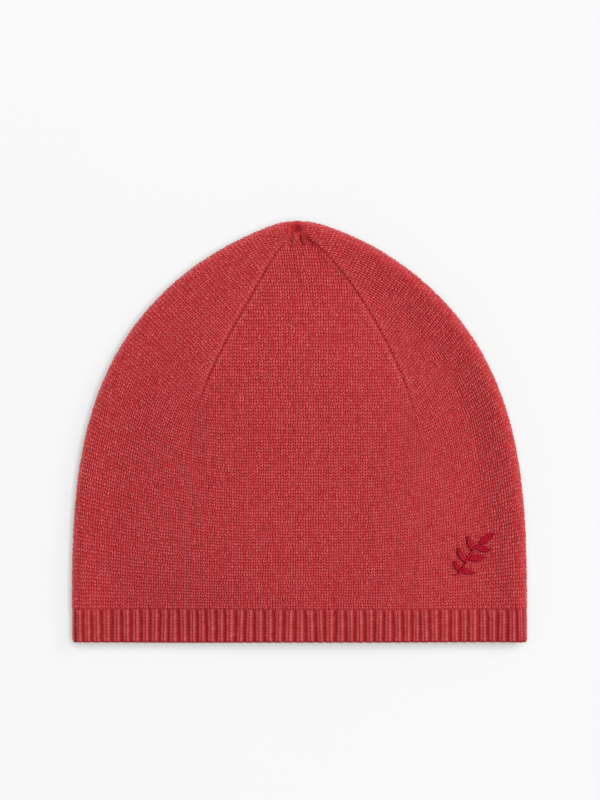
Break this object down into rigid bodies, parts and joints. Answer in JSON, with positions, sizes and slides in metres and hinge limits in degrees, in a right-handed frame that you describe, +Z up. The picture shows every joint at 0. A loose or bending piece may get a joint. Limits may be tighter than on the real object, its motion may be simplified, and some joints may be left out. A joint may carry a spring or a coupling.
{
  "type": "knitted beanie",
  "caption": "Close-fitting knitted pull-on beanie laid flat: rounded crown drawn together at the tip, ribbed hem open at the bottom, small embroidered sprig low on the front.",
  "frame": {"origin": "middle of the footprint, on the surface the flat beanie lies on, which is also the outer face of its back panel", "axes": "+X to the viewer's right across the front, +Y from the open hem to the tip of the crown, +Z up through the front panel"},
  "size_m": [0.235, 0.2175, 0.0166],
  "materials": {
    "jersey_wool": "matte",
    "rib_wool": "matte",
    "satin_thread": "satin"
  },
  "bodies": {
    "root": {"crown": "jersey_wool", "rib_hem": "rib_wool", "embroidered_sprig": "satin_thread"}
  },
  "joints": []
}
